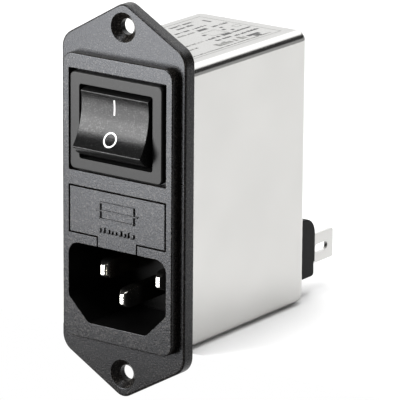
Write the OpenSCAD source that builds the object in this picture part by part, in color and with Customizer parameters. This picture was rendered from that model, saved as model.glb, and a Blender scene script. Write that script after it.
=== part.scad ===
// Power entry module with a line filter: appliance inlet, fuse drawer and two-pole rocker switch
// in one moulded front, with the filter in a drawn metal can behind it.
// X runs to the right as seen from the front, Y from the front to the back, Z up. Millimetres.
// The origin is midway between the two screw holes, on the back face of the flange.

/* [Flange] */
// Width across the flange
flange_w = 31; // [30.5:0.1:32]
// Height from point to point
flange_h = 82; // [81:0.5:86]
// Thickness of the flange
flange_t = 3; // [2.5:0.1:3.5]
// Radius of the four side corners
side_corner_r = 4; // [2:0.5:6]
// Radius of the two points
point_r = 3; // [2:0.5:5]

/* [Screw holes] */
// Distance between the two holes
hole_pitch = 72.5; // [72:0.1:73.5]
// Bore for the screw
hole_d = 3.3; // [3.2:0.1:3.6]
// Mouth of the countersink
sink_d = 6; // [5.6:0.1:6.4]

/* [Bezel] */
// Width of the raised bezel
bezel_w = 27.5; // [27.3:0.1:28]
// Height of the raised bezel
bezel_h = 59.6; // [59:0.1:60]
// Height of the bezel's middle above the origin
bezel_z = 0.15; // [0:0.05:0.3]
// How far the bezel stands out of the flange
bezel_t = 2; // [1.5:0.1:2.5]
// Corner radius of the bezel
bezel_r = 2.4; // [1.5:0.1:3]

/* [Inlet] */
// Width of the inlet's well
inlet_w = 24.5; // [24.2:0.1:24.7]
// Height of the inlet's well
inlet_h = 16.5; // [16.2:0.1:16.8]
// Height of the well's middle
inlet_z = -17.85; // [-17.9:0.05:-17.7]
// Depth of the well
inlet_depth = 15.6; // [15:0.1:16]
// Radius of the well's two upper corners
inlet_r = 2.6; // [2:0.1:3]
// Size of the well's two lower chamfers
inlet_chamfer = 5; // [4.5:0.1:5.5]
// Distance between the line and neutral pins
pin_pitch = 14; // [13.8:0.1:14.2]
// Height of the line and neutral pins above the well's middle
live_rise = 1.95; // [1.8:0.05:2.1]
// Drop of the earth pin below the well's middle
earth_drop = 2.3; // [2:0.05:2.5]
// Setback of the line and neutral pin tips
live_recess = 4.4; // [4:0.1:5]
// Setback of the earth pin's tip
earth_recess = 1.6; // [1.4:0.1:2]

/* [Fuse drawer] */
// Width of the drawer's opening
pocket_w = 24.4; // [24.2:0.1:24.6]
// Height of the drawer's opening
pocket_h = 10.1; // [9.9:0.1:10.2]
// Height of the opening's top edge
pocket_top = 2.5; // [2.4:0.05:2.7]
// Width of the drawer's pull tab
tab_w = 9.7; // [9:0.1:11]
// Gap round the drawer's front
drawer_gap = 0.28; // [0.15:0.01:0.35]
// Height of the fuse's axis
fuse_z = -2.5; // [-2.6:0.05:-2.4]
// Depth of the fuse's axis behind the flange's back face
fuse_y = 5.6; // [5.5:0.1:5.8]

/* [Rocker switch] */
// Height of the switch's middle
switch_z = 16.2; // [16:0.1:16.4]
// Width of the recess round the switch frame
recess_w = 24.3; // [24.1:0.1:24.5]
// Height of the recess round the switch frame
recess_h = 21.15; // [21:0.05:21.3]
// Width of the switch frame
frame_w = 23; // [22.8:0.1:23.2]
// Height of the switch frame
frame_h = 20.2; // [20:0.1:20.4]
// How far the frame stands out of the bezel
frame_proud = 0.45; // [0.2:0.05:0.8]
// Width of the frame's window
window_w = 18.25; // [18.1:0.05:18.4]
// Height of the frame's window
window_h = 15.45; // [15.3:0.05:15.6]
// Width of the rocker
rocker_w = 16.9; // [16.7:0.1:17.1]
// Half of the rocker's throw
rocker_tilt = 13.9; // [13:0.1:14]

/* [Filter can] */
// Width of the can
can_w = 28.3; // [28.2:0.1:28.6]
// Height of the can
can_h = 59; // [58.8:0.1:59.2]
// Depth of the can behind the flange
can_d = 42; // [41.5:0.5:46]
// Thickness of the can's sheet
can_t = 0.5; // [0.4:0.05:0.6]
// Radius of the can's outer edges
can_r = 2.2; // [2:0.1:2.6]

/* [Output terminals] */
// Width of the insulator block
block_w = 24.4; // [24:0.1:25]
// Height of the block's top edge
block_top = -12.4; // [-12.6:0.1:-12]
// Height of the block's lower edge
block_bottom = -25.35; // [-25.6:0.05:-25]
// How far the block stands out of the can
block_out = 6.2; // [5.8:0.1:6.6]
// Distance between the middles of the two output blades
blade_pitch = 22.2; // [21.6:0.1:22.4]
// Height of the output blades' middle
blade_z = -19.9; // [-20.2:0.1:-19.7]
// Length of blade outside the block
blade_out = 7.7; // [7.4:0.1:8.1]

/* [Hidden] */

$fn = 64;
eps = 0.01;
arc_steps = 6;

plastic_black = [0.10, 0.10, 0.105];
plastic_grey = [0.30, 0.30, 0.31];
nickel = [0.80, 0.79, 0.75];
tin = [0.84, 0.84, 0.81];
copper = [0.72, 0.42, 0.22];
brass = [0.80, 0.66, 0.34];
line_tone = [0.45, 0.25, 0.12];
neutral_tone = [0.18, 0.32, 0.62];

// levels along Y
bezel_front = -(flange_t + bezel_t);
frame_front = bezel_front - frame_proud;
ledge_y = bezel_front + 1.8;
well_floor = bezel_front + inlet_depth;
body_back = well_floor + 2;
case_floor = 8.5;
case_back = 10.5;
tab_back = 17;
board_front = 23;
board_t = 1.6;
board_back = board_front + board_t;

// flange outline: straight sides that end in 120 degree corners
end_slope = 30;
point_z = flange_h / 2 + point_r * (1 / cos(end_slope) - 1);
side_z = point_z - flange_w / 2 * tan(end_slope);

// body moulded behind the flange, an easy fit in the can
body_w = can_w - 2 * can_t - 0.1;
body_h = can_h - 2 * can_t - 0.1;

// inlet pins
pin_w = 2;
pin_h = 4;
pin_tail = 16.5;
pin_tip_w = 1;
pin_tip_h = 2.2;
pin_bevel_w = 1.2;
pin_bevel_h = 1.6;
live_z = inlet_z + live_rise;
earth_z = inlet_z - earth_drop;
inlet_top = inlet_z + inlet_h / 2;

// fuse drawer
pocket_bottom = pocket_top - pocket_h;
pocket_back = 11.1;
drawer_w = pocket_w - 2 * drawer_gap;
drawer_top = pocket_top - drawer_gap;
drawer_bottom = pocket_bottom + drawer_gap;
drawer_front_t = 2;
plate_back = bezel_front + drawer_front_t;
rail_in = 10.6;
rail_out = 11.8;
rail_len = 12;
rail_top = 1.8;
tray_bottom = -6.8;
tray_floor = -5.9;
saddle_half = 5.2;
saddle_front = 2.4;
saddle_back = 8.8;
fuse_len = 20;
cap_r = 2.6;
cap_len = 5;
glass_r = 2.35;
clip_x = 7.6;
clip_w = 3;
clip_t = 0.5;
clip_r = cap_r + 0.03;
clip_mouth = 2.4;

// switch case behind its frame, and the two rows of tabs through its floor
aperture = [21.6, 18.6];
case_size = [21.2, 18.2];
case_r = 0.6;
frame_r = 1.15;
pivot_tab = [switch_z - 2, switch_z + 2];
contact_tab = [switch_z - 7.4, switch_z - 4];

// switch mechanism, in the plane across X
pivot_y = -3;
axle_r = 1.2;
axle_clear = 0.05;
rocker_r = 7.3;
rocker_back = 2;
face_r = 13.4;
face_depth = 3.15;
skin_back = -1.9;
hollow_w = 14.5;
hollow_h = 10.8;
axle_tip = 2.45;
pole_x = 4.6;
guide_r = 2.2;
guide_end = 4;
guide_bore = 1.25;
plunger_r = 1.15;
plunger_tail = 1.6;
guide_floor = skin_back + 0.4;
nose_y = 7.84;
lever_pivot_y = 6.55;
lever_wing = 24;
lever_t = 0.5;
lever_w = 4;
lever_reach = 6.4;
lever_apex = 0.258;
bead_r = 0.35;
seat_y = lever_pivot_y + bead_r + 0.03;
contact_s = 5.3;
contact_r = 1.1;
contact_t = 0.5;
contact_pad = [3.2, 0.5, 2.8];
contact_front = 7.2;
contact_gap = 0.02;
tab_t = 0.8;

// insulator block
block_back = can_d + block_out;
block_r = 3.6;
block_low_r = 0.8;
block_step = 0.35;
step_rise = 3;
plug_w = 23.2;
plug_top = -13.8;
plug_bottom = -24.4;
plug_depth = 4.5;

// terminal blades
blade_w = 6.3;
blade_t = 0.8;
blade_x = blade_pitch / 2;
blade_nose = 0.3;
blade_root = can_d - plug_depth;
leg_w = 2;
slot_r = 0.95;
slot_start = 1.9;
slot_end = 3.1;
earth_blade_z = -3;
earth_blade_out = 14;
foot_rise = 3.2;
dimple_d = 1.8;
dimple_back = 3.4;
rivet_z = 2.2;
rivet_d = 3.16;
rivet_hole = 3.2;
rivet_head_t = 0.8;
rivet_outer = 5.4;
rivet_inner = 5;
strap_w = 6;
strap_t = 0.6;
strap_rise = 1.4;
fit_gap = 0.02;

// circuit board and the small parts on it
board_w = 25.6;
board_h = 55;
x_cap = [18, 8.4, 14];
x_cap_z = -6.4;
y_cap_r = 4.2;
y_cap_t = 3.4;
y_cap_x = 5;
y_cap_z = -16.4;
y_cap_lift = 2;
y_cap_pitch = 3.2;
resistor_r = 1.2;
resistor_len = 6.4;
resistor_span = 9.4;
resistor_lift = 2;
resistor_z = -23.4;
leg_r = 0.3;

// choke
choke_z = 12;
core_in = 6.2;
core_out = 10.6;
core_lift = 2.2;
core_y = board_back + core_lift;
core_t = 8;
holder_w = 3;
holder_t = 1.2;
winding_r = 0.5;
winding_gap = 0.03;
winding_span = 112;
turns = 9;
wire_r = 0.9;
wire_rise = switch_z - 0.8;

// ---------- shared shapes ----------

// a flat shape drawn in X and Z, made solid from y0 to y1
module along_y(y0, y1) {
    translate([0, y1, 0])
        rotate([90, 0, 0])
            linear_extrude(y1 - y0)
                children();
}

// a flat shape drawn in Y and Z, made solid from x0 to x1
module along_x(x0, x1) {
    translate([x0, 0, 0])
        rotate([90, 0, 90])
            linear_extrude(x1 - x0)
                children();
}

function unit(v) = v / norm(v);

// points of the arc that rounds the corner p between its neighbours a and b
function corner_arc(p, a, b, r, steps) =
    let (
        u = unit(a - p),
        v = unit(b - p),
        half = acos(u * v) / 2,
        c = p + unit(u + v) * r / sin(half),
        p0 = p + u * r / tan(half) - c,
        p1 = p + v * r / tan(half) - c,
        a0 = atan2(p0.y, p0.x),
        raw = atan2(p1.y, p1.x) - a0,
        turn = raw > 180 ? raw - 360 : raw < -180 ? raw + 360 : raw
    )
    [for (i = [0:steps]) c + r * [cos(a0 + turn * i / steps), sin(a0 + turn * i / steps)]];

// a polygon's points with each corner rounded by its own radius
function rounded(points, radii, steps = arc_steps) =
    let (n = len(points))
    [for (i = [0:n - 1])
        each radii[i] == 0
            ? [points[i]]
            : corner_arc(points[i], points[(i + n - 1) % n], points[(i + 1) % n], radii[i], steps)];

module rounded_rect(w, h, r) {
    polygon(rounded([[w / 2, h / 2], [-w / 2, h / 2], [-w / 2, -h / 2], [w / 2, -h / 2]], [r, r, r, r]));
}

// a round wire through the path's points; refs are directions that never run along the path
module wire(path, refs, r, sides = 8) {
    n = len(path);
    function tangent(i) = unit(path[min(i + 1, n - 1)] - path[max(i - 1, 0)]);
    rings = [for (i = [0:n - 1])
        let (side = unit(cross(tangent(i), refs[i])), up = cross(side, tangent(i)))
        for (k = [0:sides - 1]) path[i] + r * (cos(360 * k / sides) * side + sin(360 * k / sides) * up)];
    walls = [for (i = [0:n - 2], k = [0:sides - 1])
        let (a = i * sides + k, b = i * sides + (k + 1) % sides)
        each [[a, b, b + sides], [a, b + sides, a + sides]]];
    start = [for (k = [0:sides - 1]) sides - 1 - k];
    end = [for (k = [0:sides - 1]) (n - 1) * sides + k];
    polyhedron(rings, concat([start], walls, [end]));
}

// points of a smooth path from start to end, leaving along d0 and arriving along d1
function eased(p0, d0, p1, d1, steps) =
    [for (i = [0:steps])
        let (t = i / steps)
        pow(1 - t, 3) * p0 + 3 * t * pow(1 - t, 2) * (p0 + d0)
        + 3 * t * t * (1 - t) * (p1 - d1) + pow(t, 3) * p1];

// ---------- front moulding ----------

module flange_outline() {
    x = flange_w / 2;
    polygon(rounded(
        [[x, side_z], [0, point_z], [-x, side_z], [-x, -side_z], [0, -point_z], [x, -side_z]],
        [side_corner_r, point_r, side_corner_r, side_corner_r, point_r, side_corner_r]
    ));
}

module screw_hole() {
    sink_depth = (sink_d - hole_d) / 2;
    rotate([-90, 0, 0]) {
        translate([0, 0, -flange_t - 1]) cylinder(d = hole_d, h = flange_t + 2);
        translate([0, 0, -flange_t]) cylinder(d1 = sink_d, d2 = hole_d, h = sink_depth);
        translate([0, 0, -flange_t - 1]) cylinder(d = sink_d, h = 1);
    }
}

module inlet_outline() {
    x = inlet_w / 2;
    z = inlet_h / 2;
    c = inlet_chamfer;
    translate([0, inlet_z])
        polygon(rounded(
            [[x, z], [-x, z], [-x, c - z], [c - x, -z], [x - c, -z], [x, c - z]],
            [inlet_r, inlet_r, 1.5, 1.5, 1.5, 1.5]
        ));
}

module pocket_outline() {
    translate([-pocket_w / 2, pocket_bottom]) square([pocket_w, pocket_h]);
}

module front_housing() {
    color(plastic_black)
    difference() {
        union() {
            along_y(-flange_t, 0) flange_outline();
            translate([0, 0, bezel_z]) along_y(bezel_front, -eps) rounded_rect(bezel_w, bezel_h, bezel_r);
            along_y(-1, body_back) rounded_rect(body_w, body_h, can_r - can_t);
        }
        for (end = [-1, 1]) translate([0, 0, end * hole_pitch / 2]) screw_hole();
        along_y(bezel_front - 1, well_floor) inlet_outline();
        along_y(bezel_front - 1, pocket_back) pocket_outline();
        // notch that lets the pull tab reach down to the inlet's well
        translate([-tab_w / 2 - drawer_gap, bezel_front - 1, inlet_top - 1])
            cube([tab_w + 2 * drawer_gap, 1 + drawer_front_t + drawer_gap, pocket_bottom - inlet_top + 2]);
        // recess and aperture for the switch
        translate([0, 0, switch_z]) {
            along_y(bezel_front - 1, ledge_y) square([recess_w, recess_h], center = true);
            along_y(ledge_y - 1, body_back + 1) square(aperture, center = true);
        }
        // slots for the inlet pins
        for (x = [-pin_pitch / 2, pin_pitch / 2]) pin_slot(x, live_z);
        pin_slot(0, earth_z);
        // slots for the tails of the fuse clips
        for (x = [-clip_x, clip_x])
            translate([x - clip_w / 2, pocket_back - 1, fuse_z - clip_t / 2])
                cube([clip_w, body_back - pocket_back + 2, clip_t]);
    }
}

module pin_slot(x, z) {
    translate([x - pin_w / 2, well_floor - 1, z - pin_h / 2])
        cube([pin_w, body_back - well_floor + 2, pin_h]);
}

// a flat pin whose tip is bevelled on all four sides
module inlet_pin(x, z, tip) {
    color(nickel)
    translate([x, 0, z])
    intersection() {
        along_y(tip, pin_tail) square([pin_w, pin_h], center = true);
        along_x(-pin_w, pin_w) polygon(bevelled(tip, pin_tip_h / 2, pin_h / 2 + 0.1, pin_bevel_h));
        translate([0, 0, -pin_h])
            linear_extrude(2 * pin_h)
                polygon([for (p = bevelled(tip, pin_tip_w / 2, pin_w / 2 + 0.05, pin_bevel_w)) [p.y, p.x]]);
    }
}

// side view of a pin that grows from its tip over the bevel's length, along X
function bevelled(tip, tip_half, half, bevel) = [
    [tip, -tip_half], [tip + bevel, -half], [pin_tail + 1, -half],
    [pin_tail + 1, half], [tip + bevel, half], [tip, tip_half]
];

module line_pin() { inlet_pin(pin_pitch / 2, live_z, bezel_front + live_recess); }
module neutral_pin() { inlet_pin(-pin_pitch / 2, live_z, bezel_front + live_recess); }
module earth_pin() { inlet_pin(0, earth_z, bezel_front + earth_recess); }

// ---------- rocker switch ----------

module switch_case() {
    color(plastic_grey)
    difference() {
        translate([0, 0, switch_z]) {
            along_y(frame_front, ledge_y) rounded_rect(frame_w, frame_h, frame_r);
            along_y(ledge_y - eps, case_back) rounded_rect(case_size.x, case_size.y, case_r);
        }
        translate([0, 0, switch_z])
            along_y(frame_front - 1, case_floor)
                rounded_rect(window_w, window_h, 0.5);
        translate([0, pivot_y, switch_z])
            rotate([0, 90, 0])
                cylinder(r = axle_r + axle_clear, h = 20, center = true);
        for (x = [-pole_x, pole_x]) {
            tab_slot(x, pivot_tab);
            tab_slot(x, contact_tab);
        }
    }
}

module tab_slot(x, z) {
    translate([x - tab_t / 2, case_floor - 1, z[0]]) cube([tab_t, case_back - case_floor + 2, z[1] - z[0]]);
}

// a terminal's blade, whose front edge is at y
module tab(x, y, z) {
    translate([x - tab_t / 2, y, z[0]]) cube([tab_t, tab_back - y, z[1] - z[0]]);
}

// carries its children from the rocker's middle position to the pressed-in position at rest
module rocker_at_rest() {
    translate([0, pivot_y, switch_z]) rotate([-rocker_tilt, 0, 0]) children();
}

module rocker() {
    color(plastic_black)
    rocker_at_rest()
    difference() {
        union() {
            difference() {
                rotate([0, 90, 0]) cylinder(r = rocker_r, h = rocker_w, center = true, $fn = 96);
                translate([-rocker_w, rocker_back, -10]) cube([2 * rocker_w, 10, 20]);
                translate([0, -face_depth - face_r, 0])
                    rotate([0, 90, 0])
                        cylinder(r = face_r, h = rocker_w + 2, center = true, $fn = 128);
                translate([-hollow_w / 2, skin_back, -hollow_h / 2]) cube([hollow_w, 6, hollow_h]);
            }
            for (side = [-1, 1]) {
                translate([side * (rocker_w / 2 - 1), 0, 0])
                    rotate([0, side * 90, 0])
                        cylinder(r = axle_r, h = axle_tip);
                translate([side * pole_x, skin_back - 0.2, 0])
                    rotate([-90, 0, 0])
                        cylinder(r = guide_r, h = guide_end - skin_back + 0.2);
            }
        }
        for (x = [-pole_x, pole_x])
            translate([x, guide_floor, 0])
                rotate([-90, 0, 0])
                    cylinder(r = guide_bore, h = 10);
    }
}

// a spring-loaded pin with a round nose, in its guide in the rocker
module plunger(x) {
    color(plastic_grey)
    rocker_at_rest()
    translate([x, 0, 0])
    rotate([-90, 0, 0]) {
        translate([0, 0, plunger_tail]) cylinder(r = plunger_r, h = nose_y - plunger_tail);
        translate([0, 0, nose_y]) sphere(r = plunger_r);
    }
}

module line_plunger() { plunger(pole_x); }
module neutral_plunger() { plunger(-pole_x); }

module plunger_spring(x) {
    coils = 5;
    per_turn = 10;
    count = coils * per_turn;
    spring_r = 0.85;
    gauge = 0.15;
    from = guide_floor + gauge;
    to = plunger_tail - gauge;
    path = [for (i = [0:count])
        let (a = 360 * i / per_turn)
        [spring_r * cos(a), from + (to - from) * i / count, spring_r * sin(a)]];
    color(nickel)
    rocker_at_rest()
    translate([x, 0, 0])
    wire(path, [for (p = path) [0, 1, 0]], gauge, 6);
}

module line_plunger_spring() { plunger_spring(pole_x); }
module neutral_plunger_spring() { plunger_spring(-pole_x); }

// carries its children from the lever's middle position to its closed position at rest
module lever_at_rest() {
    translate([0, lever_pivot_y, switch_z]) rotate([rocker_tilt, 0, 0]) children();
}

// one wing's own frame: Z runs along the wing from the bend, and its front face is at Y 0
module on_lower_wing() {
    translate([0, -lever_apex, 0]) rotate([180 - lever_wing, 0, 0]) children();
}

module wing() {
    translate([-lever_w / 2, -lever_t, 0]) cube([lever_w, lever_t, lever_reach]);
}

module lever(x) {
    color(copper)
    translate([x, 0, 0])
    lever_at_rest() {
        on_lower_wing() wing();
        mirror([0, 0, 1]) on_lower_wing() wing();
        rotate([0, 90, 0]) cylinder(r = bead_r, h = lever_w, center = true, $fn = 32);
        on_lower_wing()
            translate([0, -lever_t - contact_t, contact_s])
                rotate([-90, 0, 0])
                    cylinder(r = contact_r, h = contact_t);
    }
}

module line_lever() { lever(pole_x); }
module neutral_lever() { lever(-pole_x); }

// the lever's support: a blade whose front edge is the seat
module pivot_terminal(x) {
    color(brass) tab(x, seat_y, pivot_tab);
}

module line_pivot_terminal() { pivot_terminal(pole_x); }
module neutral_pivot_terminal() { pivot_terminal(-pole_x); }

// a blade with a tilted pad and a contact that meets the lever's own
module contact_terminal(x) {
    color(brass) {
        translate([x, 0, 0])
            lever_at_rest()
                on_lower_wing()
                    translate([0, -lever_t - contact_t - contact_gap, contact_s]) {
                        rotate([90, 0, 0]) cylinder(r = contact_r, h = contact_t);
                        translate([0, -contact_t - contact_pad.y / 2 + eps, 0])
                            cube(contact_pad, center = true);
                    }
        tab(x, contact_front, contact_tab);
    }
}

module line_contact_terminal() { contact_terminal(pole_x); }
module neutral_contact_terminal() { contact_terminal(-pole_x); }

// ---------- fuse drawer ----------

module fuse_drawer() {
    color(plastic_black)
    difference() {
        union() {
            // front plate and pull tab
            translate([-drawer_w / 2, bezel_front, drawer_bottom])
                cube([drawer_w, drawer_front_t, drawer_top - drawer_bottom]);
            translate([-tab_w / 2, bezel_front, inlet_top + 0.05])
                cube([tab_w, drawer_front_t, drawer_bottom - inlet_top]);
            // side walls that run in the pocket
            for (side = [-1, 1])
                translate([side > 0 ? rail_in : -rail_out, plate_back - eps, tray_bottom])
                    cube([rail_out - rail_in, rail_len, rail_top - tray_bottom]);
            // floor of the spare fuse's place
            translate([-rail_in - eps, plate_back - eps, tray_bottom])
                cube([2 * (rail_in + eps), saddle_front - plate_back + 2 * eps, tray_floor - tray_bottom]);
            // saddle under the fuse in use
            translate([-saddle_half, saddle_front, tray_bottom])
                cube([2 * saddle_half, saddle_back - saddle_front, fuse_z - tray_bottom]);
        }
        translate([0, fuse_y, fuse_z])
            rotate([0, 90, 0])
                cylinder(r = cap_r + 0.05, h = 3 * saddle_half, center = true);
    }
}

module fuse_axis() {
    translate([0, fuse_y, fuse_z]) rotate([0, 90, 0]) children();
}

module fuse_glass() {
    color([0.85, 0.90, 0.90, 0.4])
    fuse_axis()
    difference() {
        cylinder(r = glass_r, h = fuse_len - 1, center = true);
        cylinder(r = glass_r - 0.6, h = fuse_len, center = true);
    }
}

module fuse_caps() {
    color(nickel)
    for (side = [-1, 1])
        fuse_axis()
        rotate([0, side > 0 ? 0 : 180, 0])
        translate([0, 0, fuse_len / 2 - cap_len])
        difference() {
            cylinder(r = cap_r, h = cap_len);
            translate([0, 0, -1]) cylinder(r = glass_r, h = cap_len + 0.5);
        }
}

module fuse_wire() {
    color(tin) fuse_axis() cylinder(r = 0.12, h = fuse_len - 1, center = true, $fn = 16);
}

// a spring fork that grips one cap, with a tail through the pocket's back wall
module fuse_clip(x) {
    color(brass)
    translate([x, 0, 0])
    along_x(-clip_w / 2, clip_w / 2)
    translate([fuse_y, fuse_z]) {
        difference() {
            union() {
                circle(r = clip_r + clip_t);
                translate([-clip_mouth, -clip_r - clip_t]) square([clip_mouth, 2 * (clip_r + clip_t)]);
            }
            circle(r = clip_r);
            translate([-2 * clip_r, -clip_r]) square([2 * clip_r, 2 * clip_r]);
        }
        translate([clip_r + clip_t / 2, -clip_t / 2])
            square([tab_back - fuse_y - clip_r - clip_t / 2, clip_t]);
    }
}

module supply_fuse_clip() { fuse_clip(clip_x); }
module load_fuse_clip() { fuse_clip(-clip_x); }

// ---------- filter can ----------

// a drawn cup: four long edges and the edges round its closed end are rounded
module cup(w, h, d, r) {
    hull()
        for (x = [-1, 1], z = [-1, 1])
            translate([x * (w / 2 - r), 0, z * (h / 2 - r)]) {
                translate([0, d - r, 0]) sphere(r = r, $fn = 32);
                rotate([-90, 0, 0]) cylinder(r = r, h = 1, $fn = 32);
            }
}

module filter_can() {
    color(nickel)
    difference() {
        cup(can_w, can_h, can_d, can_r);
        translate([0, -eps, 0])
            cup(can_w - 2 * can_t, can_h - 2 * can_t, can_d - can_t + eps, can_r - can_t);
        translate([-plug_w / 2, can_d - 2, plug_bottom]) cube([plug_w, 4, plug_top - plug_bottom]);
        translate([0, can_d - 2, rivet_z]) rotate([-90, 0, 0]) cylinder(d = rivet_hole, h = 4);
    }
}

// ---------- filter ----------

module circuit_board() {
    color([0.16, 0.36, 0.22])
    difference() {
        along_y(board_front, board_back) rounded_rect(board_w, board_h, 1);
        for (x = [-blade_x, blade_x])
            translate([x - blade_t / 2, board_front - 1, blade_z - leg_w / 2])
                cube([blade_t, board_t + 2, leg_w]);
    }
}

module at_choke() {
    translate([0, core_y + core_t / 2, choke_z]) children();
}

module choke_core() {
    color([0.22, 0.24, 0.22])
    at_choke()
    rotate([90, 0, 0])
    difference() {
        cylinder(r = core_out, h = core_t, center = true, $fn = 96);
        cylinder(r = core_in, h = core_t + 2, center = true, $fn = 96);
    }
}

// moulded holder: a foot that the core stands on, and a wall that keeps the two windings apart
module choke_divider() {
    color([0.85, 0.85, 0.80])
    at_choke() {
        translate([-holder_w / 2, -core_t / 2 - core_lift, -core_out])
            cube([holder_w, core_lift, 2 * core_out]);
        translate([-holder_t / 2, -core_t / 2 - eps, -core_in + 0.05])
            cube([holder_t, core_t + eps, 2 * core_in - 0.1]);
    }
}

// one winding: turns close round the core's section on one half of the ring, both ends down to the board
module winding(side) {
    half_w = (core_out - core_in) / 2 + winding_gap;
    half_h = core_t / 2 + winding_gap;
    mid_r = (core_out + core_in) / 2;
    per_turn = 8;
    first = per_turn - 1;
    last = per_turn * turns + per_turn / 2;
    cut = winding_r * tan(22.5);
    function lap(i) =
        let (q = floor(i / 2) % 4, side_on = (i + floor(i / 2)) % 2 == 0)
        [
            (q == 0 || q == 3 ? 1 : -1) * (half_w + (side_on ? winding_r : cut)),
            (q < 2 ? 1 : -1) * (half_h + (side_on ? cut : winding_r))
        ];
    function angle(i) = side * (90 - winding_span / 2 + winding_span * (i - first) / (last - first));
    function place(i, y) = let (r = mid_r + lap(i).x, a = angle(i)) [r * sin(a), y, r * cos(a)];
    board_y = -core_t / 2 - core_lift;
    path = [
        place(first, board_y),
        for (i = [first:last]) place(i, lap(i).y),
        place(last, board_y)
    ];
    refs = [for (i = [0:len(path) - 1])
        let (a = angle(min(max(i - 1, 0), last - first) + first))
        [cos(a), 0, -sin(a)]];
    color(copper) at_choke() wire(path, refs, winding_r, 6);
}

module line_winding() { winding(1); }
module neutral_winding() { winding(-1); }

module x_capacitor() {
    color([0.80, 0.62, 0.20])
    translate([0, 0, x_cap_z])
        along_y(board_back, board_back + x_cap.z)
            rounded_rect(x_cap.x, x_cap.y, 0.6);
}

module y_capacitor(x) {
    color([0.20, 0.38, 0.62])
    translate([x, board_back + y_cap_lift + y_cap_r, y_cap_z]) {
        rotate([0, 90, 0]) cylinder(r = y_cap_r, h = y_cap_t, center = true);
        for (end = [-1, 1])
            translate([0, -y_cap_lift - y_cap_r, end * y_cap_pitch / 2])
                rotate([-90, 0, 0])
                    cylinder(r = leg_r, h = y_cap_lift + 1);
    }
}

module line_y_capacitor() { y_capacitor(y_cap_x); }
module neutral_y_capacitor() { y_capacitor(-y_cap_x); }

module bleed_resistor() {
    color([0.78, 0.70, 0.55])
    translate([0, board_back + resistor_lift, resistor_z]) {
        rotate([0, 90, 0]) cylinder(r = resistor_r, h = resistor_len, center = true);
        rotate([0, 90, 0]) cylinder(r = leg_r, h = resistor_span + 2 * leg_r, center = true);
        for (end = [-1, 1])
            translate([end * resistor_span / 2, -resistor_lift, 0])
                rotate([-90, 0, 0])
                    cylinder(r = leg_r, h = resistor_lift);
    }
}

// ---------- output terminals ----------

module terminal_block() {
    y0 = can_d;
    y1 = block_back;
    y_low = y1 - block_step;
    step_z = block_bottom + step_rise;
    profile = rounded(
        [
            [y0, block_top], [y1, block_top], [y1, step_z],
            [y_low, step_z], [y_low, block_bottom], [y0, block_bottom]
        ],
        [0, block_r, 0, 0, block_low_r, 0], 8);
    color(plastic_black)
    difference() {
        union() {
            along_x(-block_w / 2, block_w / 2) polygon(profile);
            translate([-plug_w / 2, blade_root, plug_bottom])
                cube([plug_w, plug_depth + eps, plug_top - plug_bottom]);
        }
        for (x = [-blade_x, blade_x])
            translate([x - blade_t / 2, blade_root - 1, blade_z - blade_w / 2])
                cube([blade_t, block_back - blade_root + 2, blade_w]);
    }
}

// a quick-connect blade with a slot, and a narrow leg that reaches the circuit board
module output_blade(x) {
    y0 = board_front - 0.8;
    y1 = block_back + blade_out;
    w = blade_w / 2;
    leg = leg_w / 2;
    slot_y = block_back + slot_start;
    slot_len = blade_out - slot_start - slot_end;
    color(tin)
    difference() {
        along_x(x - blade_t / 2, x + blade_t / 2)
            translate([0, blade_z])
                polygon([
                    [y0, -leg], [blade_root, -leg], [blade_root, -w], [y1 - blade_nose, -w],
                    [y1, blade_nose - w], [y1, w - blade_nose],
                    [y1 - blade_nose, w], [blade_root, w], [blade_root, leg], [y0, leg]
                ]);
        translate([x - 1, slot_y, blade_z - 0.1])
            along_x(0, 2) {
                circle(r = slot_r);
                translate([slot_len, 0]) circle(r = slot_r);
                translate([0, -slot_r]) square([slot_len, 2 * slot_r]);
            }
    }
}

module line_output_blade() { output_blade(blade_x); }
module neutral_output_blade() { output_blade(-blade_x); }

// blade bent up from a foot that is riveted to the can
module earth_output_blade() {
    y0 = can_d;
    y1 = can_d + earth_blade_out;
    w = blade_w / 2;
    color(tin) {
        difference() {
            translate([-w, y0, earth_blade_z])
                cube([blade_w, blade_t, rivet_z + foot_rise - earth_blade_z]);
            translate([0, y0 - 1, rivet_z]) rotate([-90, 0, 0]) cylinder(d = rivet_hole, h = 4);
        }
        translate([0, 0, earth_blade_z])
            linear_extrude(blade_t)
                difference() {
                    polygon([
                        [-w, y0], [w, y0], [w, y1 - blade_nose],
                        [w - blade_nose, y1], [blade_nose - w, y1], [-w, y1 - blade_nose]
                    ]);
                    translate([0, y1 - dimple_back]) circle(d = dimple_d);
                }
    }
}

module earth_rivet() {
    color(nickel)
    translate([0, can_d, rivet_z])
    rotate([-90, 0, 0]) {
        translate([0, 0, -can_t - rivet_head_t - fit_gap]) cylinder(d = rivet_inner, h = rivet_head_t);
        translate([0, 0, -can_t - rivet_head_t / 2])
            cylinder(d = rivet_d, h = can_t + blade_t + rivet_head_t);
        translate([0, 0, blade_t]) cylinder(d = rivet_outer, h = rivet_head_t);
    }
}

// strap from the earth pin's tail to the can's lower wall
module earth_strap() {
    foot_z = -can_h / 2 + can_t + fit_gap;
    color(nickel) {
        difference() {
            translate([-strap_w / 2, body_back, foot_z])
                cube([strap_w, strap_t, earth_z + pin_h / 2 + strap_rise - foot_z]);
            translate([-pin_w / 2, body_back - 1, earth_z - pin_h / 2]) cube([pin_w, 3, pin_h]);
        }
        translate([-strap_w / 2, body_back, foot_z]) cube([strap_w, strap_w, strap_t]);
    }
}

// ---------- wires ----------

// a wire that leaves both of its ends straight back, with a smooth bend between them
module lead(p0, bend0, p1, bend1, tone) {
    stub = [0, 1.2, 0];
    path = concat([p0], eased(p0 + stub, bend0, p1 + stub, bend1, 12), [p1]);
    color(tone) wire(path, [for (p = path) [1, 0, 0]], wire_r, 8);
}

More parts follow.
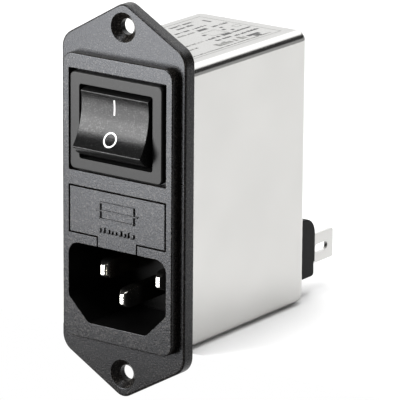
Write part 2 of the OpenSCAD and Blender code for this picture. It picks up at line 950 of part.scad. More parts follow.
module line_supply_wire() {
    lead([pin_pitch / 2, pin_tail, live_z], [0, 2.4, 4], [clip_x, tab_back, fuse_z], [0, -2.4, 4],
        line_tone);
}

module fused_line_wire() {
    lead([-clip_x, tab_back, fuse_z], [7, 3, 2], [pole_x, tab_back, wire_rise], [6, -3, 0.5],
        line_tone);
}

module neutral_supply_wire() {
    lead([-pin_pitch / 2, pin_tail, live_z], [-5, 2.4, 5], [-pole_x, tab_back, wire_rise], [9, -2.4, 5],
        neutral_tone);
}

// straight wire from a contact terminal to the board
module filter_wire(x, tone) {
    color(tone)
        translate([x, tab_back, (contact_tab[0] + contact_tab[1]) / 2])
            rotate([-90, 0, 0])
                cylinder(r = wire_r, h = board_front - tab_back);
}

module line_filter_wire() { filter_wire(pole_x, line_tone); }
module neutral_filter_wire() { filter_wire(-pole_x, neutral_tone); }

front_housing();
line_pin();
neutral_pin();
earth_pin();
switch_case();
rocker();
line_plunger();
neutral_plunger();
line_plunger_spring();
neutral_plunger_spring();
line_lever();
neutral_lever();
line_pivot_terminal();
neutral_pivot_terminal();
line_contact_terminal();
neutral_contact_terminal();
fuse_drawer();
fuse_glass();
fuse_caps();
fuse_wire();
supply_fuse_clip();
load_fuse_clip();
filter_can();
circuit_board();
choke_core();
choke_divider();
line_winding();
neutral_winding();
x_capacitor();
line_y_capacitor();
neutral_y_capacitor();
bleed_resistor();
terminal_block();
line_output_blade();
neutral_output_blade();
earth_output_blade();
earth_rivet();
earth_strap();
line_supply_wire();
fused_line_wire();
neutral_supply_wire();
line_filter_wire();
neutral_filter_wire();
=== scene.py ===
import math
import random

import bmesh
import bpy
from mathutils import Matrix, Vector


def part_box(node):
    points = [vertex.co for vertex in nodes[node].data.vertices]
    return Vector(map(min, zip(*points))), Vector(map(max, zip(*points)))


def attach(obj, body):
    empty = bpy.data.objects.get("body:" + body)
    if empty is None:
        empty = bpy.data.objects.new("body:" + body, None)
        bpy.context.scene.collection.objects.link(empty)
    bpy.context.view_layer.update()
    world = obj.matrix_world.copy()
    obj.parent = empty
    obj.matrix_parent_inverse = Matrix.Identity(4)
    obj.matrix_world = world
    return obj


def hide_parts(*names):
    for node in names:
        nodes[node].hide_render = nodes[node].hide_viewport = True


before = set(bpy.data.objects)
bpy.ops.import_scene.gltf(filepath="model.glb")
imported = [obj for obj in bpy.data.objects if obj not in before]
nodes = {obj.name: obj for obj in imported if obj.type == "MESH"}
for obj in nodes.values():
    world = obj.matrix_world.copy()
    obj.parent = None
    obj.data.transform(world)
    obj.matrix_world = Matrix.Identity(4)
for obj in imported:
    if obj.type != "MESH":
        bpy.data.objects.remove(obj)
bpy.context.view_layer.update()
print("frame loaded:", len(nodes), "nodes")

# all sizes below are in millimetres, X to the right, Y to the back, Z up
mm = 0.001
past = 1.0  # how far a cutter runs past the surface it cuts
bite = 0.1  # how far joined forms run into each other
slack = 0.01  # least radius of a rounded corner, and tolerance of a comparison


def angles(sides):
    # a full turn in equal steps
    return [2 * math.pi * k / sides for k in range(sides)]


def turnArc(p, a, b, r, steps):
    # the points of a round corner at p, between its neighbours a and b
    u, v = (a - p).normalized(), (b - p).normalized()
    half = math.acos(max(-1, min(1, u.dot(v)))) / 2
    centre = p + (u + v).normalized() * (r / math.sin(half))
    first = p + u * (r / math.tan(half)) - centre
    last = p + v * (r / math.tan(half)) - centre
    start = math.atan2(first.y, first.x)
    turn = (math.atan2(last.y, last.x) - start + math.pi) % (2 * math.pi) - math.pi
    stops = [start + turn * k / steps for k in range(steps + 1)]
    return [centre + r * Vector((math.cos(t), math.sin(t))) for t in stops]


def outline(corners, radii, grow=0.0, steps=6):
    # a polygon with rounded corners, moved outwards by grow; its point count stays the same
    corners = [Vector(c) for c in corners]
    if isinstance(radii, (int, float)):
        radii = [radii] * len(corners)
    moved, bends = [], []
    for i, p in enumerate(corners):
        u = (p - corners[i - 1]).normalized()
        w = (corners[(i + 1) % len(corners)] - p).normalized()
        n1, n2 = Vector((u.y, -u.x)), Vector((w.y, -w.x))
        moved.append(p + (n1 + n2) * (grow / (1 + n1.dot(n2))))
        bends.append(1 if u.x * w.y - u.y * w.x > 0 else -1)
    points = []
    for i, p in enumerate(moved):
        if radii[i] == 0:
            points.append(p)
        else:
            r = max(radii[i] + bends[i] * grow, slack)
            points += turnArc(p, moved[i - 1], moved[(i + 1) % len(moved)], r, steps)
    return points


def rectangle(x0, z0, x1, z1):
    return [(x1, z1), (x0, z1), (x0, z0), (x1, z0)]


def boxCorners(w, h, x=0.0, z=0.0):
    return rectangle(x - w / 2, z - h / 2, x + w / 2, z + h / 2)


def ringAt(y, corners, radii, grow=0.0, steps=6):
    # a rounded outline at one depth
    return [(p.x, y, p.y) for p in outline(corners, radii, grow, steps)]


def roundedEdge(size, steps=3):
    # pairs of depth and inset along a quarter circle, from the flat face to the wall
    if size == 0:
        return [(0.0, 0.0)]
    turns = [math.pi / 2 * k / steps for k in range(steps + 1)]
    return [(size * (1 - math.cos(a)), size * (1 - math.sin(a))) for a in turns]


def objectOf(name, mesh):
    data = bpy.data.meshes.new(name)
    bmesh.ops.recalc_face_normals(mesh, faces=mesh.faces)
    mesh.to_mesh(data)
    mesh.free()
    made = bpy.data.objects.new(name, data)
    bpy.context.scene.collection.objects.link(made)
    return made


def loft(name, rings, closed=False):
    # a solid through rings of points; closed joins the last ring to the first
    mesh = bmesh.new()
    loops = [[mesh.verts.new(Vector(p) * mm) for p in ring] for ring in rings]
    pairs = list(zip(loops, loops[1:]))
    if closed:
        pairs.append((loops[-1], loops[0]))
    for a, b in pairs:
        for k in range(len(a)):
            mesh.faces.new((a[k - 1], a[k], b[k], b[k - 1]))
    if not closed:
        mesh.faces.new(loops[0])
        mesh.faces.new(loops[-1])
    return objectOf(name, mesh)


def prism(name, corners, radii, y0, y1, front=0.0, back=0.0, steps=6, axis="Y"):
    # a solid along Y, or along X with its corners in Y and Z, with rounded edges at both ends
    ends = [(y0 + d, -inset) for d, inset in roundedEdge(front)]
    ends += [(y1 - d, -inset) for d, inset in reversed(roundedEdge(back))]
    rings = [ringAt(y, corners, radii, grow, steps) for y, grow in ends]
    if axis == "X":
        rings = [[(along, across, up) for across, along, up in ring] for ring in rings]
    return loft(name, rings)


def pocketCutter(corners, radii, y0, y1, lip=0.0, draft=0.0, steps=6):
    # what a cavity takes away, with a mouth at y0 whose edge is rounded by lip
    ends = [(y0 - past, lip)] + [(y0 + d, inset) for d, inset in roundedEdge(lip)] + [(y1, -draft)]
    if lip == 0:
        ends.pop(1)
    return loft("cutter", [ringAt(y, corners, radii, grow, steps) for y, grow in ends])


def lathe(name, profile, x=0.0, z=0.0, sides=48):
    # profile holds pairs of radius and Y; the axis runs along Y through x and z
    rings = [[(x + r * math.cos(a), y, z + r * math.sin(a)) for a in angles(sides)] for r, y in profile]
    return loft(name, rings)


def rod(name, ends, y, z, r, sides):
    # a round bar along X
    return loft(name, [[(x, y + r * math.cos(a), z + r * math.sin(a)) for a in angles(sides)] for x in ends])


def block(name, low, high):
    x0, y0, z0 = low
    x1, y1, z1 = high
    return prism(name, rectangle(x0, z0, x1, z1), 0, y0, y1)


def bake(piece):
    # replaces a piece's mesh by what its modifiers make of it
    shown = piece.evaluated_get(bpy.context.evaluated_depsgraph_get())
    made = bpy.data.meshes.new_from_object(shown)
    piece.modifiers.clear()
    piece.data = made


def combine(piece, operation, others):
    for other in others:
        step = piece.modifiers.new("step", "BOOLEAN")
        step.operation = operation
        step.solver = "EXACT"
        step.object = other
    bake(piece)
    for other in others:
        bpy.data.objects.remove(other)
    return piece


def cut(piece, *others):
    return combine(piece, "DIFFERENCE", others)


def join(piece, *others):
    return combine(piece, "UNION", others)


def place(piece, finish, body, replaced=(), angle=32.0):
    # shading, finish and the frame's bookkeeping for one finished piece
    piece.data.shade_smooth()
    piece.data.set_sharp_from_angle(angle=math.radians(angle))
    weighted = piece.modifiers.new("weighted", "WEIGHTED_NORMAL")
    weighted.keep_sharp = True
    piece.data.materials.clear()
    piece.data.materials.append(finish)
    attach(piece, body)
    if replaced:
        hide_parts(*replaced)
    return piece


class Wire:  # wraps a shader socket, so that sums of sockets read as sums
    def __init__(self, tree, socket=None):
        self.tree = tree
        self.socket = socket

    def node(self, kind, settings, inputs, output=0):
        made = self.tree.nodes.new("ShaderNode" + kind)
        for key, value in settings.items():
            if key == "stops":
                ramp = made.color_ramp.elements
                while len(ramp) < len(value):
                    ramp.new(1.0)
                for stop, (where, colour) in zip(ramp, value):
                    stop.position = where
                    stop.color = colour
            else:
                setattr(made, key, value)
        for key, value in inputs.items():
            if isinstance(value, Wire):
                self.tree.links.new(value.socket, made.inputs[key])
            else:
                made.inputs[key].default_value = value
        return Wire(self.tree, made.outputs[output])

    def calc(self, operation, first, second):
        return self.node("Math", {"operation": operation}, {0: first, 1: second})

    def __add__(self, other):
        return self.calc("ADD", self, other)

    def __sub__(self, other):
        return self.calc("SUBTRACT", self, other)

    def __rsub__(self, other):
        return self.calc("SUBTRACT", other, self)

    def __mul__(self, other):
        return self.calc("MULTIPLY", self, other)

    __radd__ = __add__
    __rmul__ = __mul__

    def clamp(self):
        return self.node("Clamp", {}, {"Value": self})

    def blend(self, low, high):
        # a colour between low and high, by this wire's value
        return self.node("Mix", {"data_type": "RGBA"}, {0: self, 6: low, 7: high}, 2)

    def axes(self):
        # the X, Y and Z of a vector
        split = self.node("SeparateXYZ", {}, {"Vector": self}).socket.node
        return [Wire(self.tree, output) for output in split.outputs]

    def spot(self):
        # where on the object a point lies, in metres
        return self.node("TexCoord", {}, {}, 3)

    def noise(self, size, detail=2.0, stretch=(1, 1, 1)):
        # soft noise with features of about size millimetres
        moved = self.node("Mapping", {}, {"Vector": self.spot(), "Scale": stretch})
        return self.node("TexNoise", {}, {"Vector": moved, "Scale": 1 / (size * mm), "Detail": detail})

    def bump(self, height, depth):
        return self.node("Bump", {}, {"Height": height, "Distance": depth * mm, "Strength": 1.0})


def grey(value, warmth=0.0):
    return (value * (1 + warmth), value, value * (1 - warmth), 1.0)


def opaque(colour, share=1.0):
    return (*(c * share for c in colour), 1)


def finish(name, sockets, build):
    # sockets are the values that hold all over; build gives those that change over the surface
    made = bpy.data.materials.new(name)
    made.use_nodes = True
    tree = made.node_tree
    shader = next(n for n in tree.nodes if n.type == "BSDF_PRINCIPLED")
    for key, value in sockets.items():
        shader.inputs[key].default_value = value
    for key, wire in build(Wire(tree)).items():
        tree.links.new(wire.socket, shader.inputs[key])
    made.diffuse_color = sockets.get("Base Color", (0.5, 0.5, 0.5, 1))
    return made


# black mouldings: tone of the ground and of the flecks, grain in millimetres, reflection level and
# tint, and how strongly the flecks glint
coolTint = (0.90, 0.93, 1, 1)
plastics = {
    "front": {"dark": 0.004, "light": 0.040, "rough": 0.29, "spread": 0.18, "grain": 0.30, "depth": 0.026,
              "level": 0.215, "tint": coolTint, "warmth": 0.12, "glint": 0.12},
    "drawer": {"dark": 0.004, "light": 0.044, "rough": 0.29, "spread": 0.18, "grain": 0.30, "depth": 0.026,
               "level": 0.225, "tint": coolTint, "warmth": 0.12, "glint": 0.14},
    # the inlet's walls: painted shade, a darker and duller copy of the black front plastic
    "cavity": {"dark": 0.002, "light": 0.004, "rough": 0.40, "spread": 0.16, "grain": 0.60, "depth": 0.002,
               "level": 0.07},
    "switchFrame": {"dark": 0.012, "light": 0.018, "rough": 0.36, "spread": 0.05, "grain": 0.60,
                    "depth": 0.003, "level": 0.14},
    "rocker": {"dark": 0.005, "light": 0.016, "rough": 0.17, "spread": 0.20, "grain": 0.25, "depth": 0.028,
               "level": 0.094, "glint": 0.24},
    "block": {"dark": 0.004, "light": 0.007, "rough": 0.50, "spread": 0.08, "grain": 0.50, "depth": 0.004,
              "level": 0.11},
}


def mouldedPlastic(name, dark, light, rough, spread, grain, depth, level, tint=(1, 1, 1, 1), warmth=0,
                   glint=0):
    # thermoplastic from a spark-eroded mould: fine grain, and flecks that catch the light
    contrast, cutoff, patches, patchSize = 6.5, 3.45, 0.8, 14.0

    def build(start):
        flecks = start.noise(grain, 3.0)
        broad = start.noise(patchSize, 2.0)
        tone = (flecks * contrast - cutoff + (broad - 0.5) * patches).clamp()
        return {
            "Base Color": tone.blend(grey(dark, warmth), grey(light, warmth)),
            "Roughness": flecks * spread + (rough - spread / 2),
            "Normal": start.bump(start.noise(grain, 2.0), depth),
            "Coat Weight": tone * glint,
        }
    sockets = {"Specular IOR Level": level, "Specular Tint": tint, "Coat Roughness": rough}
    return finish(name, sockets, build)


def sheetMetal(name, colour, rough, streak, size, depth):
    # rolled or drawn sheet with plating: faint marks along the rolling direction and cloudy patches
    change, cloudSize, dull = 0.08, 16.0, 0.86

    def build(start):
        marks = start.noise(size, 4.0, streak)
        cloud = start.noise(cloudSize, 3.0)
        return {
            "Base Color": (cloud * 1.2 - 0.1).clamp().blend(opaque(colour, dull), opaque(colour)),
            "Roughness": marks * change + cloud * change + (rough - change),
            "Normal": start.bump(marks, depth),
        }
    return finish(name, {"Metallic": 1.0}, build)


def pinPlate(name, tip, shadedShaft, rough, start, length):
    # painted shade: bright plating at the tip that darkens further in, from Y start over a length, where the
    # inlet's shade falls on the pins
    def build(wire):
        marks = wire.noise(0.8, 4.0, (1, 0.2, 1))
        # mask of the painted shade along the pin
        inner = (wire.spot().axes()[1] * (1 / (length * mm)) - start / length).clamp()
        return {
            "Base Color": inner.blend(opaque(tip), opaque(shadedShaft)),
            "Roughness": marks * 0.06 + rough,
            "Normal": wire.bump(marks, 0.001),
        }
    return finish(name, {"Metallic": 1.0}, build)


def dielectric(name, dark, light, rough, grain, depth):
    # moulded, lacquered or printed: two tones in soft patches
    def build(start):
        patch = start.noise(grain, 3.0)
        return {
            "Base Color": patch.blend(opaque(dark), opaque(light)),
            "Roughness": patch * 0.15 + (rough - 0.07),
            "Normal": start.bump(patch, depth),
        }
    return finish(name, {}, build)


def wireEnamel(name, colour, rough):
    def build(start):
        turns = start.noise(0.8, 2.0)
        return {
            "Base Color": turns.blend(opaque(colour, 0.7), opaque(colour)),
            "Roughness": turns * 0.1 + rough,
        }
    return finish(name, {"Metallic": 0.7, "Coat Roughness": 0.1, "Coat Weight": 0.6}, build)


def clearGlass(name):
    def build(start):
        film = start.noise(6.0, 2.0)
        return {"Roughness": film * 0.04 + 0.01}
    return finish(name, {"Base Color": (0.96, 0.98, 0.98, 1), "Transmission Weight": 1.0, "IOR": 1.5}, build)


rolled = (1, 0.2, 1)  # marks drawn out along Y
finishes = {key: mouldedPlastic(key + "Plastic", **values) for key, values in plastics.items()}
finishes.update({
    "can": sheetMetal("caseTinPlate", (0.575, 0.57, 0.555), 0.15, (1, 0.25, 1), 2.5, 0.001),
    "nickel": sheetMetal("nickelPlate", (0.80, 0.78, 0.74), 0.18, rolled, 0.8, 0.001),
    "tin": sheetMetal("bladeTin", (0.62, 0.615, 0.60), 0.32, rolled, 0.8, 0.002),
    "brass": sheetMetal("stripBrass", (0.78, 0.60, 0.30), 0.26, rolled, 0.8, 0.002),
    "contactCopper": sheetMetal("stripCopper", (0.74, 0.44, 0.28), 0.26, rolled, 0.8, 0.002),
    "springSteel": sheetMetal("springWire", (0.62, 0.62, 0.61), 0.25, (1, 1, 1), 0.4, 0.001),
    "copperWire": wireEnamel("enamelledCopper", (0.62, 0.26, 0.09), 0.22),
    "white": dielectric("inlayWhite", (0.80, 0.80, 0.79), (0.92, 0.92, 0.91), 0.45, 0.6, 0.002),
    "ink": dielectric("caseInk", (0.02, 0.02, 0.02), (0.06, 0.06, 0.06), 0.6, 0.5, 0.001),
    "paleInk": dielectric("casePaleInk", (0.12, 0.12, 0.11), (0.20, 0.20, 0.19), 0.6, 0.5, 0.001),
    "plunger": dielectric("plungerPlastic", (0.60, 0.60, 0.56), (0.72, 0.72, 0.68), 0.4, 1.5, 0.003),
    "holder": dielectric("holderPlastic", (0.66, 0.65, 0.58), (0.76, 0.75, 0.70), 0.5, 1.5, 0.004),
    "board": dielectric("boardLacquer", (0.05, 0.16, 0.07), (0.08, 0.24, 0.11), 0.35, 1.2, 0.006),
    "ferrite": dielectric("ferriteCoat", (0.03, 0.035, 0.03), (0.07, 0.08, 0.07), 0.45, 0.8, 0.010),
    "capBox": dielectric("capacitorBox", (0.60, 0.42, 0.08), (0.74, 0.54, 0.14), 0.4, 2.0, 0.004),
    "capDisc": dielectric("capacitorDisc", (0.05, 0.14, 0.36), (0.09, 0.20, 0.46), 0.35, 1.2, 0.010),
    "resistor": dielectric("resistorCoat", (0.60, 0.50, 0.32), (0.72, 0.62, 0.44), 0.45, 0.8, 0.006),
    "brownWire": dielectric("brownInsulation", (0.12, 0.05, 0.02), (0.18, 0.08, 0.03), 0.4, 1.0, 0.003),
    "blueWire": dielectric("blueInsulation", (0.03, 0.08, 0.30), (0.05, 0.12, 0.40), 0.4, 1.0, 0.003),
    "glass": clearGlass("fuseGlass"),
})
print("finishes made:", len(finishes))


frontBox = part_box("front_housing")
frontDims = {
    "flangeWidth": (frontBox[1].x - frontBox[0].x) / mm,
    "flangeHeight": (frontBox[1].z - frontBox[0].z) / mm,
    "flangeThickness": 3.0,
    "sideCornerRadius": 4.0,
    "pointRadius": 3.0,
    "endSlope": 30.0,
    "flangeEdge": 0.45,
    "flangeBackEdge": 0.2,
    "bezelFront": frontBox[0].y / mm,
    "bezelWidth": 27.5,
    "bezelHeight": 59.6,
    "bezelMiddle": 0.15,
    "bezelRadius": 2.4,
    "bezelEdge": 0.30,
    "bodyBack": frontBox[1].y / mm,
    "bodyWidth": 27.2,
    "bodyHeight": 57.9,
    "bodyRadius": 1.7,
    "bodyEdge": 0.3,
    "holePitch": 72.5,
    "holeDiameter": 3.3,
    "holeBreak": 0.15,
    "sinkDiameter": 6.0,
    "sinkLip": (0.04, 0.05, 0.13),  # out, and the depths where it starts and ends
    "switchMiddle": 16.2,
    "recess": (24.3, 21.15),
    "aperture": (21.6, 18.6),
    "apertureRadius": 0.3,
    "ledge": 1.8,
    "pocket": (24.4, 10.1),
    "pocketTop": 2.5,
    "pocketBack": 11.1,
    "tightRadius": 0.15,
    "inlet": (24.5, 16.5),
    "inletMiddle": -17.85,
    "inletRadius": 2.6,
    "inletLowRadius": 1.5,
    "inletChamfer": 5.0,
    "inletDepth": 15.6,
    "inletShadeSpan": (0.2, 0.1),  # from the mouth and past the floor, where the painted shade starts and ends
    "inletDraft": 0.1,
    "lip": 0.12,
    "fineSteps": 10,
}


def flangeCorners(d):
    x = d["flangeWidth"] / 2
    slope = math.radians(d["endSlope"])
    point = d["flangeHeight"] / 2 + d["pointRadius"] * (1 / math.cos(slope) - 1)
    side = point - x * math.tan(slope)
    return [(x, side), (0, point), (-x, side), (-x, -side), (0, -point), (x, -side)]


def inletCorners(d):
    w, h = d["inlet"]
    x, z, c, m = w / 2, h / 2, d["inletChamfer"], d["inletMiddle"]
    return [(x, m + z), (-x, m + z), (-x, m + c - z), (c - x, m - z), (x - c, m - z), (x, m + c - z)]


def screwHoles(d):
    # countersunk from the front, with soft edges
    bore, sink, soft = d["holeDiameter"] / 2, d["sinkDiameter"] / 2, d["holeBreak"]
    lipOut, lipStart, lipEnd = d["sinkLip"]
    top = -d["flangeThickness"]
    profile = [(sink + soft, top - past), (sink + soft, top), (sink + lipOut, top + lipStart),
               (sink, top + lipEnd), (bore, top + lipEnd + sink - bore), (bore, -soft), (bore + soft, 0),
               (bore + soft, past)]
    return [lathe("cutter", profile, z=end * d["holePitch"] / 2) for end in (-1, 1)]


def frontOpenings(d, drawer):
    # the recess and window of the switch, the drawer's pocket with the notch of its tab, and the inlet
    face, lip, tight = d["bezelFront"], d["lip"], d["tightRadius"]
    recess = boxCorners(*d["recess"], z=d["switchMiddle"])
    aperture = boxCorners(*d["aperture"], z=d["switchMiddle"])
    w, h = d["pocket"]
    pocket = boxCorners(w, h, z=d["pocketTop"] - h / 2)
    notch = drawer["tabWidth"] / 2 + drawer["gap"]
    notchLow = d["inletMiddle"] + d["inlet"][1] / 2 - past
    notchHigh = d["pocketTop"] - h + past
    notchBack = face + drawer["plate"] + drawer["gap"]
    inletRadii = [d["inletRadius"]] * 2 + [d["inletLowRadius"]] * 4
    return [
        pocketCutter(recess, tight, face, face + d["ledge"], lip, steps=3),
        pocketCutter(aperture, d["apertureRadius"], face + past, d["bodyBack"] + past, steps=3),
        pocketCutter(pocket, tight, face, d["pocketBack"], lip, steps=3),
        block("cutter", (-notch, face - past, notchLow), (notch, notchBack, notchHigh)),
        pocketCutter(inletCorners(d), inletRadii, face, face + d["inletDepth"], lip, d["inletDraft"],
                     d["fineSteps"]),
    ]


def makeFront(d, drawer):
    s, p = d["sideCornerRadius"], d["pointRadius"]
    face, middle = d["bezelFront"], -d["flangeThickness"] / 2
    shell = prism("frontShell", flangeCorners(d), [s, p, s, s, p, s], -d["flangeThickness"], 0,
                  d["flangeEdge"], d["flangeBackEdge"], d["fineSteps"])
    rim = boxCorners(d["bezelWidth"], d["bezelHeight"], z=d["bezelMiddle"])
    bezel = prism("bezel", rim, d["bezelRadius"], face, middle, d["bezelEdge"], steps=d["fineSteps"])
    body = prism("body", boxCorners(d["bodyWidth"], d["bodyHeight"]), d["bodyRadius"], middle,
                 d["bodyBack"], 0, d["bodyEdge"])
    join(shell, bezel, body)
    cut(shell, *screwHoles(d), *frontOpenings(d, drawer))
    place(shell, finishes["front"], "module", ["front_housing"])
    # painted shade: the walls of the inlet get a smoother, darker and duller copy of the grained black front
    # plastic, where the inlet's shade falls
    shell.data.materials.append(finishes["cavity"])
    w, h = d["inlet"]
    start, end = d["inletShadeSpan"]
    for side in shell.data.polygons:
        x, y, z = side.center / mm
        inWidth = abs(x) <= w / 2 + slack
        inHeight = abs(z - d["inletMiddle"]) <= h / 2 + slack
        if inWidth and inHeight and face + start < y < face + d["inletDepth"] + end:
            side.material_index = 1


drawerDims = {
    "gap": 0.28,
    "tabWidth": 9.7,
    "tabDip": 0.05,
    "plate": 2.0,
    "cornerRadius": 0.12,
    "edge": 0.10,
    "railInside": 10.6,
    "railOutside": 11.8,
    "railLength": 12.0,
    "railTop": 1.8,
    "trayBottom": -6.8,
    "trayFloor": -5.9,
    "saddle": (5.2, 2.4, 8.8),
    "fuse": (5.6, -2.5, 2.65),
}


def makeDrawer(d, f):
    face = f["bezelFront"]
    x = f["pocket"][0] / 2 - d["gap"]
    top = f["pocketTop"] - d["gap"]
    bottom = f["pocketTop"] - f["pocket"][1] + d["gap"]
    tab = d["tabWidth"] / 2
    tip = f["inletMiddle"] + f["inlet"][1] / 2 + d["tabDip"]
    corners = [(x, top), (-x, top), (-x, bottom), (-tab, bottom), (-tab, tip), (tab, tip), (tab, bottom),
               (x, bottom)]
    r = d["cornerRadius"]
    back = face + d["plate"]
    drawer = prism("fuseDrawer", corners, [r, r, r, 0, r, r, 0, r], face, back, d["edge"], 0, 3)
    inside, outside = d["railInside"], d["railOutside"]
    low, start = d["trayBottom"], back - bite
    half, near, far = d["saddle"]
    fuseY, fuseZ, seat = d["fuse"]
    rails = [block("rail", (x0, start, low), (x1, back + d["railLength"], d["railTop"]))
             for x0, x1 in ((-outside, -inside), (inside, outside))]
    tray = block("floor", (-inside - bite, start, low), (inside + bite, near + bite, d["trayFloor"]))
    join(drawer, *rails, tray, block("saddle", (-half, near, low), (half, far, fuseZ)))
    cut(drawer, rod("cutter", (-half - past, half + past), fuseY, fuseZ, seat, 40))
    return place(drawer, finishes["drawer"], "drawer_unit", ["fuse_drawer"])


# raised fuse sign: a box with a line through it, and small bars below it
signDims = {
    "middle": (0.05, -1.68),
    "box": (8.4, 3.4),
    "line": 10.5,
    "lineHeight": 0.9,  # as a share of the box's height above the face
    "stroke": 0.28,
    "height": 0.34,
    "corner": 0.05,
    "edge": 0.04,
    "barsTop": -5.2,
    "barHeight": 1.15,
    "barCount": 9,
    "barStep": 1.0,
    "barInset": 0.2,
    "barWidths": [0.28, 0.45, 0.62],
    "barRises": [0.65, 0.8, 1.0],
}


def ridge(d, face, x0, z0, x1, z1, height):
    corners = rectangle(x0, z0, x1, z1)
    return prism("ridge", corners, d["corner"], face - height, face + bite, d["edge"], 0, 3)


def makeSign(d, face):
    x, z = d["middle"]
    s, tall = d["stroke"] / 2, d["height"]
    left, right = x - d["box"][0] / 2, x + d["box"][0] / 2
    low, high = z - d["box"][1] / 2, z + d["box"][1] / 2
    sign = ridge(d, face, left, high - s, right, high + s, tall)
    join(sign,
         ridge(d, face, left, low - s, right, low + s, tall),
         ridge(d, face, left - s, low - s, left + s, high + s, tall),
         ridge(d, face, right - s, low - s, right + s, high + s, tall),
         ridge(d, face, x - d["line"] / 2, z - s, x + d["line"] / 2, z + s, tall * d["lineHeight"]))
    sign.name = "fuseSign"
    return place(sign, finishes["drawer"], "drawer_unit")


def makeRatingBars(d, face):
    rng = random.Random(4)
    bars = []
    left = d["middle"][0] - d["barCount"] * d["barStep"] / 2 + d["barInset"]
    low = d["barsTop"] - d["barHeight"]
    for k in range(d["barCount"]):
        width = rng.choice(d["barWidths"])
        x = left + k * d["barStep"]
        tall = d["barHeight"] * rng.choice(d["barRises"])
        bars.append(ridge(d, face, x, low, x + width, low + tall, d["height"]))
    join(bars[0], *bars[1:])
    bars[0].name = "ratingBars"
    return place(bars[0], finishes["drawer"], "drawer_unit")


switchDims = {
    "middle": frontDims["switchMiddle"],
    "frame": (23.0, 20.2),
    "frameRadius": 1.15,
    "frameFront": -5.45,
    "frameEdge": 0.28,
    "ledge": -3.2,
    "window": (18.25, 15.45),
    "windowRadius": 0.5,
    "windowLip": 0.10,
    "case": (21.2, 18.2),
    "caseRadius": 0.6,
    "caseEdge": 0.2,
    "floor": 8.5,
    "back": 10.5,
}


def makeSwitchCase(d):
    m = d["middle"]
    case = prism("switchCase", boxCorners(*d["frame"], z=m), d["frameRadius"], d["frameFront"], d["ledge"],
                 d["frameEdge"], 0, 8)
    join(case, prism("inner", boxCorners(*d["case"], z=m), d["caseRadius"], d["ledge"] - bite, d["back"],
                     0, d["caseEdge"]))
    cut(case, pocketCutter(boxCorners(*d["window"], z=m), d["windowRadius"], d["frameFront"], d["floor"],
                           d["windowLip"], steps=4))
    return place(case, finishes["switchFrame"], "module", ["switch_case"])


rockerDims = {
    "width": 16.9,
    "tilt": 13.9,
    "pivotY": -3.0,
    "radius": 7.3,
    "back": 2.0,
    "faceRadius": 13.4,
    "faceDepth": 3.15,
    "faceSteps": 20,
    "flankSteps": 12,
    "edge": 0.12,
    "tipRadius": 0.24,
    "tipSteps": 4,
    "hollow": (14.5, 10.8, 6.0),
    "skinBack": -1.9,
    "axle": (1.2, 2.45, 1.0),  # radius, length, and how far it starts inside the flank
    "guideX": 4.6,
    "guideRadius": 2.2,
    "guideEnd": 4.0,
    "guideRoot": 0.2,
    "boreRadius": 1.25,
    "boreFloor": 0.4,
    "boreEnd": 10,
    "roundSides": 32,
}


def rockerProfile(d):
    # Y and Z round the pivot, rocker level: concave face, round flanks, flat back
    face = -d["faceDepth"] - d["faceRadius"]
    tipY = (d["radius"] ** 2 - d["faceRadius"] ** 2 + face ** 2) / (2 * face)
    tipZ = math.sqrt(d["radius"] ** 2 - tipY ** 2)
    steps, flankSteps = d["faceSteps"], d["flankSteps"]
    swing = math.asin(tipZ / d["faceRadius"])
    turns = [swing * (1 - 2 * k / steps) for k in range(steps + 1)]
    points = [Vector((face + d["faceRadius"] * math.cos(a), d["faceRadius"] * math.sin(a))) for a in turns]
    start = math.atan2(-tipZ, tipY)
    end = -math.acos(d["back"] / d["radius"])
    flank = [start + (end - start) * k / flankSteps for k in range(1, flankSteps + 1)]
    points += [Vector((d["radius"] * math.cos(a), d["radius"] * math.sin(a))) for a in flank]
    points += [Vector((p.x, -p.y)) for p in reversed(points[steps + 1:])]
    lower = turnArc(points[steps], points[steps - 1], points[steps + 1], d["tipRadius"], d["tipSteps"])
    upper = turnArc(points[0], points[-1], points[1], d["tipRadius"], d["tipSteps"])
    return upper + points[1:steps] + lower + points[steps + 1:]


def atRocker(d, piece):
    # turns a piece made round the pivot to the rocker's place and tilt
    turn = Matrix.Translation(Vector((0, d["pivotY"], switchDims["middle"])) * mm)
    piece.data.transform(turn @ Matrix.Rotation(math.radians(-d["tilt"]), 4, "X"))
    return piece


def makeRocker(d):
    profile = rockerProfile(d)
    area = sum(a.x * b.y - b.x * a.y for a, b in zip(profile, profile[1:] + profile[:1]))
    if area < 0:
        profile.reverse()
    half, skin, sides = d["width"] / 2, d["skinBack"], d["roundSides"]
    rocker = prism("rockerButton", profile, 0, -half, half, d["edge"], d["edge"], axis="X")
    hollowW, hollowH, hollowEnd = d["hollow"]
    cut(rocker, block("cutter", (-hollowW / 2, skin, -hollowH / 2), (hollowW / 2, hollowEnd, hollowH / 2)))
    guide = [(d["guideRadius"], skin - d["guideRoot"]), (d["guideRadius"], d["guideEnd"])]
    guides = [lathe("guide", guide, x=side * d["guideX"], sides=sides) for side in (-1, 1)]
    axleR, axleLength, axleIn = d["axle"]
    root = half - axleIn
    axles = [rod("axle", (side * root, side * (root + axleLength)), 0, 0, axleR, sides) for side in (-1, 1)]
    join(rocker, *guides, *axles)
    bore = [(d["boreRadius"], skin + d["boreFloor"]), (d["boreRadius"], d["boreEnd"])]
    cut(rocker, *[lathe("cutter", bore, x=side * d["guideX"], sides=sides) for side in (-1, 1)])
    atRocker(d, rocker)
    return place(rocker, finishes["rocker"], "rocker_unit", ["rocker"])


# the on and off signs are inlays in the rocker's concave face
inlayDims = {
    "x": -0.08,
    "barTop": 4.88,
    "barLow": 1.85,
    "barWidth": 0.30,
    "barSteps": 8,
    "ringMiddle": -3.1,
    "ringOuter": 1.58,
    "ringStroke": 0.31,
    "ringSides": 48,
    "lift": 0.03,
    "depth": 0.15,
}


